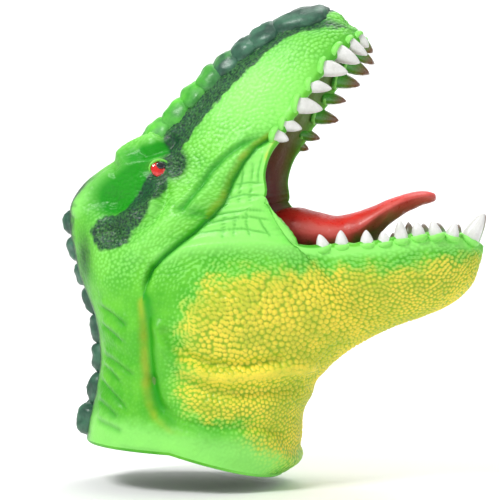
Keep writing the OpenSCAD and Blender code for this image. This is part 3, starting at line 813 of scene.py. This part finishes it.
def skin_material():
    """Green rubber with sprayed yellow pebbles, charcoal patches and a brown to olive lining, with painted
    shade in the hollows and painted highlight on the ridges and pebble tops.
    """
    n = Nodes("rubber_skin")
    cloud = n.cloud(90, 5, 0.35, 0.65)
    colour = n.mix(cloud, (0.07, 0.41, 0.018), (0.125, 0.52, 0.03))
    pebble = n.attribute("pebble")
    # Paler green: painted highlight on the ridges and rolls, and paler green on the web, snout side, lower lip
    # and cuff
    colour = n.mix(n.times(n.attribute("pale"), 0.85), colour, PALE)
    # Painted highlight: paler green on the tops of the pebbles
    colour = n.mix(n.times(n.spread(pebble, 0.2, 0.9), 0.45), colour, PALE)
    # Painted shade: deeper green in the hollows and creases
    colour = n.mix(n.times(n.attribute("deep"), 0.95), colour, SHADE_GREEN)
    yellow = n.attribute("yellow")
    # Yellow-green between the pebbles, darkened as painted shade in the valleys; the yellow paint sits on the
    # pebble tops
    colour = n.mix(n.times(n.spread(yellow, 0.15, 0.95), 0.85), colour, YELLOW_GREEN)
    tips = n.times(n.spread(pebble, 0.1, 0.9), n.spread(yellow, 0.05, 0.75))
    patchy = n.spread(n.noise(55, 6, 0.7), 0.36, 0.60, 0.42, 1.0)
    colour = n.mix(n.times(tips, patchy), colour, YELLOW)
    colour = n.mix(n.attribute("edge_paint"), colour, (0.55, 0.50, 0.03))
    dark = n.spread(n.attribute("dark"), 0.0, 0.6)
    speckle = n.cloud(1100, 2, 0.40, 0.62, 0.80, 1.0)
    dark_colour = n.mix(n.cloud(300, 3, 0.45, 0.75), CHARCOAL, (0.013, 0.055, 0.036))
    # Painted highlight: the tops of the pebbles in the charcoal paint are paler
    dark_colour = n.mix(n.times(pebble, 0.2), dark_colour, (0.04, 0.15, 0.085))
    colour = n.mix(n.times(dark, speckle), colour, dark_colour)
    lining = n.mix(n.cloud(60, 4, 0.35, 0.65), OLIVE, (0.13, 0.24, 0.06))
    depth = n.times(n.attribute("depth"), n.cloud(45, 4, 0.2, 0.6, 0.6, 1.0))
    lining = n.mix(depth, lining, MAROON)
    colour = n.mix(n.attribute("lining"), colour, lining)
    rough = n.cloud(240, 4, 0.3, 0.7, 0.34, 0.50)
    fine = n.bump(n.noise(1500, 3), 0.18, 0.0004)
    pores = n.bump(n.cells(700), 0.25, 0.0004, fine)
    return n.finish(colour, rough, pores, specular=0.26, coat=0.06, coat_roughness=0.2)


def scute_material():
    """Sprayed scutes: bright green near the brow, charcoal towards the snout and down the nape; the green ones
    get painted shade at their base.
    """
    n = Nodes("rubber_scutes")
    dark = n.attribute("dark")
    worn = n.cloud(160, 5, 0.3, 0.7)
    green = n.mix(worn, (0.05, 0.40, 0.02), (0.14, 0.64, 0.05))
    charcoal = n.mix(worn, (0.012, 0.055, 0.034), (0.055, 0.17, 0.10))
    colour = n.mix(dark, green, charcoal)
    rough = n.cloud(300, 4, 0.3, 0.7, 0.32, 0.48)
    return n.finish(colour, rough, n.bump(n.noise(420, 4), 0.35, 0.0006), specular=0.4, coat=0.1)


def tooth_material():
    """White paint on the outside; the bare green and brown rubber shows on the inside."""
    n = Nodes("tooth_paint")
    white = n.mix(n.cloud(200, 3, 0.3, 0.7), (0.64, 0.64, 0.61), (0.76, 0.76, 0.74))
    bare = n.mix(n.spread(n.attribute("rise"), 0.1, 0.9), (0.06, 0.36, 0.03), (0.16, 0.06, 0.02))
    colour = n.mix(n.attribute("inside"), white, bare)
    rough = n.cloud(500, 3, 0.3, 0.7, 0.20, 0.34)
    return n.finish(colour, rough, n.bump(n.noise(500, 3), 0.12, 0.0004), coat=0.25, coat_roughness=0.15)


def tongue_material():
    """Glossy red paint that thins to brown and green rubber at the root and underneath."""
    n = Nodes("tongue_paint")
    red = n.mix(n.cloud(140, 4, 0.3, 0.7), (0.56, 0.012, 0.008), (0.70, 0.03, 0.022))
    pink = n.mix(n.cloud(120, 4, 0.3, 0.7), (0.52, 0.05, 0.04), (0.64, 0.10, 0.08))
    colour = n.mix(n.attribute("flank"), red, pink)
    root = n.mix(n.cloud(80, 4, 0.3, 0.7), (0.16, 0.03, 0.015), (0.10, 0.16, 0.03))
    colour = n.mix(n.attribute("bare"), colour, root)
    rough = n.cloud(600, 3, 0.3, 0.7, 0.26, 0.46)
    grain = n.bump(n.noise(1300, 3), 0.35, 0.0004)
    return n.finish(colour, rough, grain, specular=0.3, coat=0.12, coat_roughness=0.2)


def eye_material(name, low, high):
    n = Nodes(name)
    colour = n.mix(n.cloud(400, 3, 0.35, 0.65), low, high)
    rough = n.cloud(300, 2, 0.3, 0.7, 0.10, 0.18)
    return n.finish(colour, rough, n.bump(n.noise(900, 2), 0.05, 0.0002), coat=0.6, coat_roughness=0.05)


# ---------------------------------------------------------------- smaller pieces
def tube(name, rings, close=True):
    """A mesh through closed rings of points, with both ends closed by a fan."""
    rings = np.asarray(rings)
    count, around = rings.shape[:2]
    vertices = rings.reshape(-1, 3)
    j = np.arange(around)
    k = (j + 1) % around
    quads = [np.stack([i + j, i + k, i + around + k, i + around + j], -1)
             for i in range(0, (count - 1) * around, around)]
    fans = []
    if close:
        base = len(vertices)
        last = base - around
        vertices = np.concatenate([vertices, [rings[0].mean(0), rings[-1].mean(0)]])
        first_fan = np.stack([np.full(around, base), k, j], -1)
        last_fan = np.stack([np.full(around, base + 1), last + j, last + k], -1)
        fans = np.stack([first_fan, last_fan], 1).reshape(-1, 3).tolist()
    return new_mesh(name, vertices, np.concatenate(quads), fans), vertices


def revolve(root, axis, squeeze, profile):
    """Rings round an axis through pairs of radius and height, a little narrower along Y."""
    side = np.array([0, 1.0, 0])
    front = np.cross(side, axis)
    front /= np.linalg.norm(front)
    across = np.cross(axis, front)
    turn = np.linspace(0, 2 * math.pi, 26, endpoint=False)
    rings = []
    for radius, height in profile:
        rings.append(root + axis * height + np.outer(np.cos(turn) * radius, front)
                     + np.outer(np.sin(turn) * radius * squeeze, across))
    return rings


# Radius, as a share of the tooth's, and height of the collar round its root
GUM_COLLAR = [(0.45, -1.9), (0.95, -1.3), (1.14, -0.5), (1.15, 0.3), (1.06, 0.85), (0.92, 1.0), (0.75, 0.5)]


def make_tooth(name, paint, gum_paint):
    """A blunt cone that leans like its CAD tooth, in a swollen collar of gum."""
    root, tip, radius = tooth_axis(name)
    upper = name.startswith("upper")
    root = root - (0, np.sign(root[1]) * 0.5, 0)
    axis = tip - root
    length = np.linalg.norm(axis) * TOOTH_LENGTH
    axis = axis / np.linalg.norm(axis)
    wide = radius * TOOTH_WIDTH
    profile = []
    for h in np.linspace(0, 1, 20):
        rise = math.sin(h * math.pi / 2)
        profile.append((wide * max(1 - rise**1.7, 0.0008)**0.66, -1.2 + (length + 1.2) * rise))
    obj, vertices = tube("painted_" + name, revolve(root, axis, 0.9, profile))
    inward = -np.sign(root[1]) * (vertices[:, 1] - root[1]) / wide
    along = ((vertices - root) @ axis) / length
    rough_edge = 0.18 * waves(vertices, 1.1, 40)
    inside = ease(inward + rough_edge + 0.25 * along, 0.05, 0.38)
    add_masks(obj, {"inside": inside * (1.0 if upper else 0.8), "rise": np.clip(along, 0, 1)})
    body = "head" if upper else "jaw"
    collar = [(wide * share, height) for share, height in GUM_COLLAR]
    t = np.linspace(0, len(collar) - 1, 19)
    rings = revolve(root, axis, 0.92, smooth(collar, t))
    rings = np.array(rings) + (0, np.sign(root[1]) * 0.6, 0)
    gum, ring_points = tube("gum_" + name, rings)
    lump = 0.18 * waves(ring_points, 1.6, 44)
    gum.data.vertices.foreach_set("co", ((ring_points + lump[:, None]) * MM).ravel())
    height = (ring_points - root) @ axis
    # Paler green on the collar, with a painted highlight rising towards its top
    add_masks(gum, skin_masks(len(ring_points), pale=0.6 + 0.3 * ease(height, -0.8, 0.6)))
    settle(obj, paint, body, "tooth_white", name)
    settle(gum, gum_paint, body, "skin_green")


def make_tongue(material):
    """One soft tongue from the floor of the mouth to its free tip, with a groove and a grain."""
    rows = np.array([
        [30, 95, 34, 84, 9], [35, 99.5, 39, 81.5, 12], [43, 101.6, 47, 80, 13.4], [52, 99.8, 56, 79.6, 13.8],
        [60, 98.1, 65, 80.4, 13.6], [68, 99.3, 73, 85.5, 13], [76, 102.3, 80, 93.4, 11.8],
        [84, 105.3, 87, 98.6, 10], [90.5, 107.2, 92.2, 101, 8.4], [95.4, 107.6, 96.2, 102.1, 6.2],
        [98.2, 106.4, 98.6, 103.3, 3.2], [98.9, 105.3, 99, 104.4, 0.9]
    ])
    t = even_places(rows, 0, len(rows) - 1, 0.7)
    s = smooth(rows, t)
    turn = np.linspace(0, 2 * math.pi, 72, endpoint=False)
    across, up = np.cos(turn), np.sin(turn)
    mid = (s[:, 0:2] + s[:, 2:4]) / 2
    reach = (s[:, 0:2] - s[:, 2:4]) / 2
    x = mid[:, 0:1] + reach[:, 0:1] * up
    z = mid[:, 1:2] + reach[:, 1:2] * up
    y = s[:, 4:5] * across * (1 - 0.22 * np.clip(-up, 0, 1))
    grid = np.stack([x, y, z], -1)
    groove = np.exp(-(grid[..., 1] / 2.6)**2) * np.clip(up, 0, 1)[None, :]
    grid[..., 2] -= 1.1 * groove * ease(len(rows) - 1 - t, 0.5, 3)[:, None]
    flat = grid.reshape(-1, 3)
    grain = 0.04 * waves(flat, 1.4, 60) + 0.25 * waves(flat, 5, 61)
    outward = np.stack([np.zeros_like(x), np.tile(across, (len(t), 1)), np.tile(up, (len(t), 1))], -1)
    grid += outward * (grain.reshape(x.shape) * ease(len(rows) - 1 - t, 0, 1)[:, None])[..., None]
    obj, vertices = tube("painted_tongue", grid)
    ups = np.concatenate([np.tile(up, (len(t), 1)).ravel(), [0, 0]])
    flank = 1 - ease(ups + 0.1 * waves(vertices, 3, 62), 0.30, 0.62)
    low = ease(-ups + 0.25 * waves(vertices, 3, 63), 0.05, 0.6) * (1 - ease(vertices[:, 0], 74, 90))
    root = 1 - ease(vertices[:, 0] + 2 * waves(vertices, 3, 64), 30, 42)
    add_masks(obj, {"flank": flank, "bare": np.clip(np.maximum(low, root * 0.7), 0, 1)})
    obj.data.materials.append(material)
    x, _, z = JOINT["tongue_flex"]["pos_m"]
    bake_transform(obj)
    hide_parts("tongue_root", "tongue_tip")


def lobe_grid(at, along, size, salt, tilt):
    """A rounded scute: a squashed egg with a keel and a rough surface, tilted to its side."""
    along = np.array([along[0], 0, along[1]]) / math.hypot(*along)
    out = np.array([-along[2], 0, along[0]]) * math.cos(tilt) + np.array([0, math.sin(tilt), 0])
    side = np.cross(out, along)
    u = np.linspace(0.03, math.pi - 0.03, 22)
    v = np.linspace(0, 2 * math.pi, 32, endpoint=False)
    rings = []
    for a in u:
        e = np.sign(np.cos(a)) * abs(np.cos(a))**0.8
        r = np.sin(a)**0.8
        keel = 1 + 0.16 * np.clip(np.sin(v), 0, 1)**3
        ring = (np.asarray(at) - along * e * size[0] / 2 + np.outer(np.cos(v) * r * size[1] / 2, side)
                + np.outer(np.sin(v) * r * keel * size[2] / 2, out))
        rings.append(ring)
    rings = np.array(rings)
    flat = rings.reshape(-1, 3)
    rough = 0.7 * waves(flat, 3.2, salt) + 0.3 * waves(flat, 1.2, salt + 1)
    n = flat - np.asarray(at)
    n /= np.maximum(np.linalg.norm(n, axis=1, keepdims=True), 1e-6)
    return (flat + n * rough[:, None]).reshape(rings.shape)


# A scute is [place along the crown, length, height above it, how dark]; the place is x on the
# snout and z down the nape.
SNOUT_SCUTES = [
    (46, 25, 2.2, 1.0), (31.5, 14, 2.9, 1.0), (24, 13, 3.1, 1.0), (17, 13, 3.1, 0.7), (10.2, 13.5, 3.2, 0.3),
    (3.6, 14, 3.3, 0.12), (-3.2, 15, 3.5, 0.05), (-11, 15.5, 3.6, 0.03)
]
NAPE_SCUTES = [
    (16, 13.5, 5.2, 1), (29, 14, 3.3, 1), (41, 13, 3.2, 1), (52.5, 13, 3.1, 1), (63.5, 12, 2.5, 1),
    (74, 11, 2.0, 1), (84.5, 11, 1.9, 1), (95, 10, 1.8, 1)
]
# Scutes that start below this height stand for neck_scutes, the others for nape_scutes
NAPE_START = 70
# How far a scute reaches into the skin
SCUTE_DEPTH = 6.4
SNOUT_ROW = 8.4
NAPE_ROW = 5.6
TILT = math.radians(22)


def crown_spot(column, value, first, last):
    """Point and forward direction of the crown line where x or z has a value."""
    line = smooth(UPPER, np.linspace(first, last, 1200))[:, 0:2]
    k = int(np.argmin(np.abs(line[:, column] - value)))
    k = min(max(k, 1), len(line) - 2)
    way = line[k + 1] - line[k - 1]
    return line[k], way / np.hypot(*way)


def make_scute(name, spot, way, size, side, row, dark, salt):
    out = np.array([-way[1], way[0]])
    centre = spot + out * (size[1] - SCUTE_DEPTH) / 2
    at = np.array([centre[0], side * row, centre[1]])
    rings = lobe_grid(at, (way[0], way[1]), (size[0], 2.1 * row, size[1] + SCUTE_DEPTH), salt, side * TILT)
    obj, vertices = tube(name, rings)
    shade = np.ones(len(vertices))
    if dark < 0.99:
        # Painted shade: a green scute darkens towards its base, below the crown of the skin
        deep = ease(-(vertices[:, [0, 2]] - spot) @ out, -1.5, 1.5)
        shade = np.clip(dark + 0.3 * waves(vertices, 3.2, 90) + 0.35 * deep, 0, 1)
    add_masks(obj, {"dark": shade})
    return obj


def make_scutes(material):
    """Two rows of scutes along the snout's ridge and down the nape, each its own piece."""
    for side, word in ((1, "left"), (-1, "right")):
        for i, (x, length, height, dark) in enumerate(SNOUT_SCUTES):
            spot, way = crown_spot(0, x + (0 if side < 0 else 2.2), SHARED, len(UPPER) - 3)
            salt = 80 + 2 * i + (side > 0)
            name = f"snout_scute_{word}_{i + 1}"
            obj = make_scute(name, spot, way, (length, height), side, SNOUT_ROW, dark, salt)
            settle(obj, material, "head", "scute_dark", "snout_scutes_" + word)
        for i, (z, length, height, dark) in enumerate(NAPE_SCUTES):
            spot, way = crown_spot(1, z + (0 if side < 0 else 2.4), 0, SHARED - 1.5)
            salt = 120 + 2 * i + (side > 0)
            name = f"nape_scute_{word}_{i + 1}"
            obj = make_scute(name, spot, way, (length, height), side, NAPE_ROW, dark, salt)
            obj.data.materials.append(material)
            bend_with_head(obj)
            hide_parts("neck_scutes" if z < NAPE_START else "nape_scutes")


# Ways of the head's and the jaw's bends from the corner of the mouth, where both skins stay with the neck; no
# bend is applied
HEAD_BEND_WAY = np.array([-0.24, 0, 0.97])
JAW_BEND_WAY = np.array([1.0, 0, 0.2])


def bend(obj, way):
    way = way / np.linalg.norm(way)
    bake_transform(obj)


def bend_with_head(obj):
    bend(obj, HEAD_BEND_WAY)


def dome(name, at, facing, radii):
    """A shallow round lens on the skin, such as an eye."""
    facing = np.asarray(facing, float)
    facing /= np.linalg.norm(facing)
    up = np.array([0.28, 0, 1.0])
    right = np.cross(up, facing)
    right /= np.linalg.norm(right)
    up = np.cross(facing, right)
    rings = []
    for a in np.linspace(0.02, math.pi - 0.02, 20):
        v = np.linspace(0, 2 * math.pi, 32, endpoint=False)
        pinch = 1 - 0.25 * np.clip(-np.sin(v), 0, 1) * abs(math.sin(a))
        rings.append(np.asarray(at) - facing * math.cos(a) * radii[2]
                     + np.outer(np.cos(v) * math.sin(a) * radii[0] * pinch, right)
                     + np.outer(np.sin(v) * math.sin(a) * radii[1], up))
    return tube(name, rings)[0]


def make_lid(name, at, facing, material):
    """The rounded rim over an eye, thickest in the middle."""
    up = np.array([-0.1, 0, 1.0])
    right = np.cross(up, facing)
    right /= np.linalg.norm(right)
    if right[0] < 0:
        right = -right
    rings = []
    turn = np.linspace(0, 2 * math.pi, 14, endpoint=False)
    for a in np.linspace(math.radians(-25), math.radians(200), 26):
        out = right * math.cos(a) + up * math.sin(a)
        thick = 0.2 + 0.35 * math.sin(math.radians(90) * (1 - abs(math.degrees(a) - 87.5) / 113))
        centre = at + right * math.cos(a) * 3.9 + up * math.sin(a) * 3.35 + facing * 0.5
        rings.append(centre + np.outer(np.cos(turn) * thick, out)
                     + np.outer(np.sin(turn) * thick * 0.9, facing))
    obj, vertices = tube(name, rings)
    add_masks(obj, skin_masks(len(vertices), pale=np.full(len(vertices), 0.35)))
    settle(obj, material, "head", "skin_green")


def skin_spot(points, at, side):
    """The point of a skin that lies over a place in the side view, on one side."""
    near = points[points[:, 1] * side > 15]
    close = near[np.hypot(near[:, 0] - at[0], near[:, 2] - at[1]) < 1.5]
    return close[np.argmax(close[:, 1] * side)]


def make_eyes(skin, red, black, points):
    """Eyelid, glossy eye and pupil, on the points of the upper skin."""
    for side, word in ((1, "left"), (-1, "right")):
        at = skin_spot(points, EYE, side)
        facing = np.array([0.28, side, 0.22])
        make_lid("eyelid_" + word, at, facing / np.linalg.norm(facing), skin)
        ball = dome("glossy_eye_" + word, at - facing * 0.15, facing, (3.9, 3.2, 1.6))
        settle(ball, red, "head", "eye_red", "eye_" + word)
        pupil_at = at + facing * 1.2 + np.array([0.45, 0, 1.05])
        pupil = dome("glossy_pupil_" + word, pupil_at, facing, (1.9, 1.35, 0.5))
        settle(pupil, black, "head", "pupil_black", "pupil_" + word)


# ---------------------------------------------------------------- assembly of the skins
def outward_normals(vertices, faces):
    total = np.zeros_like(vertices)
    quads = vertices[faces]
    n = np.cross(quads[:, 2] - quads[:, 0], quads[:, 3] - quads[:, 1])
    for k in range(4):
        np.add.at(total, faces[:, k], n)
    return total


def join_cheeks(upper, lower, shared):
    """The two skins meet down the cheek: they share points and normals there."""
    for col in (0, ARC_COLS - 1):
        rows = np.arange(shared) * ARC_COLS + col
        both = upper.normals[rows] + lower.normals[rows]
        mid = (upper.vertices[rows] + lower.vertices[rows]) / 2
        for skin in (upper, lower):
            skin.normals[rows] = both
            skin.vertices[rows] = mid


def part_mesh(name, skin, normals, faces, ends):
    """One piece of a skin, with only the vertices that its own faces use."""
    used = np.unique(np.concatenate([faces.ravel(), ends.ravel()]))
    new = np.full(len(skin.vertices), -1)
    new[used] = np.arange(len(used))
    obj = new_mesh(name, skin.vertices[used], new[faces], new[ends].tolist())
    add_masks(obj, {mask: values[used] for mask, values in skin.masks.items()})
    obj.data.normals_split_custom_set_from_vertices(normals[used].tolist())
    return obj


def make_skins(material):
    """The four skins; gives back the points of the upper one."""
    plains = [plain_skin("upper", UPPER), plain_skin("lower", LOWER)]
    add_pebbles(plains)
    shared = plains[0].shared
    made = {plain.part: build_skin(plain) for plain in plains}
    for built in made.values():
        built.normals = outward_normals(built.vertices, built.faces)
    join_cheeks(made["upper"], made["lower"], shared)
    no_ends = np.empty((0, 3), int)
    for part, built in made.items():
        n = built.normals / np.maximum(np.linalg.norm(built.normals, axis=1, keepdims=True), 1e-9)
        ahead = built.faces.min(1) >= (shared - 1) * ARC_COLS
        for word, chosen, ends in (("neck", ~ahead, no_ends), ("mouth", ahead, built.tip)):
            obj = part_mesh(f"rubber_{part}_{word}", built, n, built.faces[chosen], ends)
            obj.data.materials.append(material)
            if part == "upper":
                bend_with_head(obj)
            else:
                bend(obj, JAW_BEND_WAY)
            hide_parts(*STANDS_FOR[part, word])
    return made["upper"].vertices


STANDS_FOR = {
    ("upper", "neck"): ("nape_fold", "neck_sleeve", "brow_left", "brow_right"),
    ("upper", "mouth"): ("head_skin", "palate_lining", "nostril_left", "nostril_right"),
    ("lower", "neck"): ("jowl_fold", "cheek_web_left", "cheek_web_right"),
    ("lower", "mouth"): ("jaw_skin", "mouth_floor", "mouth_back"),
}


CUFF_WALL = 2.6
CUFF_POINTS = 240


def cuff_ring(upper, lower, turn, inset):
    """A closed cross-section of the neck, inside its outer face by the inset."""
    across, up = rounded(turn)
    front = (lower[2:4] - lower[0:2]) * (1 - inset / np.hypot(*(lower[0:2] - lower[2:4])))
    back = (upper[0:2] - upper[2:4]) * (1 - inset / np.hypot(*(upper[0:2] - upper[2:4])))
    xz = upper[2:4] + np.where((up >= 0)[:, None], back, front) * up[:, None]
    return np.stack([xz[:, 0], across * (upper[4] - inset), xz[:, 1]], -1)


def make_cuff(material):
    """The rolled edge of the hand opening and the bare inside of the neck above it."""
    turn = np.linspace(0, 2 * math.pi, CUFF_POINTS, endpoint=False)
    upper, lower = (smooth(rows, np.linspace(0, 5, 60)) for rows in (UPPER, LOWER))
    down = np.array([-0.14, 0, -0.99])
    rings = []
    for a in np.linspace(0, math.pi, 9):
        inset = CUFF_WALL / 2 * (1 - math.cos(a))
        rings.append(cuff_ring(upper[0], lower[0], turn, inset) + down * CUFF_WALL / 2 * math.sin(a))
    for k in range(2, 60, 2):
        rings.append(cuff_ring(upper[k], lower[k], turn, CUFF_WALL))
    obj, vertices = tube("cuff_rim", rings, close=False)
    pale = ease(-vertices[:, 2] + 4, 0, 8) * 0.6 + 0.1 * waves(vertices, 9, 70)
    bare = ease(np.arange(len(vertices)), CUFF_POINTS * 7, CUFF_POINTS * 10) * 0.8
    add_masks(obj, skin_masks(len(vertices), pale=pale, lining=bare))
    settle(obj, material, "neck", "skin_green", "cuff_band")


# ---------------------------------------------------------------- stage
def soft_light(name, at, aim, size, power):
    lamp = bpy.data.lights.new(name, "AREA")
    lamp.size = size
    lamp.energy = power
    obj = bpy.data.objects.new(name, lamp)
    obj.location = at
    away = np.array(aim, float) - np.array(at, float)
    obj.rotation_euler = Vector(away).to_track_quat("-Z", "Y").to_euler()
    bpy.context.scene.collection.objects.link(obj)


def make_stage():
    """A pale floor that sweeps up behind, and soft light."""
    low = cad_box[0][2] - 0.0035
    sweep = np.linspace(0.1, math.pi / 2, 12)
    depth = np.concatenate([np.linspace(-1.5, 0.9, 8), 0.9 + 0.5 * np.sin(sweep), [1.4]])
    height = np.concatenate([np.zeros(8), 0.5 * (1 - np.cos(sweep)), [3.0]])
    across = np.linspace(-2.5, 2.5, 3)
    vertices = [(x, y, low + z) for y, z in zip(depth, height) for x in across]
    mesh = bpy.data.meshes.new("floor")
    mesh.from_pydata(vertices, [], grid_quads(len(depth), 3)[:, ::-1].tolist())
    mesh.polygons.foreach_set("use_smooth", np.ones(len(mesh.polygons), bool))
    floor = bpy.data.objects.new("floor", mesh)
    bpy.context.scene.collection.objects.link(floor)
    n = Nodes("pale_floor")
    pale = n.mix(n.noise(3, 2), (0.93, 0.93, 0.93), (0.95, 0.95, 0.95))
    rough = n.cloud(8, 2, 0.3, 0.7, 0.6, 0.7)
    n.finish(pale, rough, n.bump(n.noise(200, 2), 0.02, 0.0002), specular=0.2)
    mesh.materials.append(n.material)
    world = bpy.data.worlds.new("soft")
    world.use_nodes = True
    world.node_tree.nodes["Background"].inputs["Color"].default_value = (1.0, 1.0, 1.0, 1.0)
    world.node_tree.nodes["Background"].inputs["Strength"].default_value = 0.42
    bpy.context.scene.world = world
    aim = (0.02, 0, 0.08)
    soft_light("key", (-0.35, -0.55, 0.75), aim, 0.3, 7)
    soft_light("fill", (0.8, -0.6, 0.25), aim, 0.6, 1.6)
    soft_light("top", (0.15, 0.25, 0.9), aim, 0.6, 4)
    soft_light("backdrop", (0, 0.45, 1.0), (0, 1.4, 0.5), 0.8, 10)


def make_camera():
    camera = bpy.data.cameras.new("camera")
    obj = bpy.data.objects.new("camera", camera)
    bpy.context.scene.collection.objects.link(obj)
    azimuth, distance, width = math.radians(10), 0.62, 0.2
    aim = np.array([0.025, 0, 0.084])
    obj.location = aim + distance * np.array([math.sin(azimuth), -math.cos(azimuth), 0])
    obj.rotation_euler = (math.pi / 2, 0, azimuth)
    camera.sensor_width = 36
    camera.lens = 36 * distance / width
    bpy.context.scene.camera = obj


make_camera()
make_stage()
bpy.context.scene.view_settings.view_transform = "Standard"
skin = skin_material()
upper_points = make_skins(skin)
make_cuff(skin)
teeth = tooth_material()
for node_name in sorted(frame["nodes"]):
    if "_tooth_" in node_name:
        make_tooth(node_name, teeth, skin)
make_tongue(tongue_material())
make_scutes(scute_material())
red = eye_material("eye_paint", (0.62, 0.012, 0.01), (0.80, 0.03, 0.02))
black = eye_material("pupil_paint", (0.006, 0.006, 0.007), (0.02, 0.02, 0.022))
make_eyes(skin, red, black, upper_points)
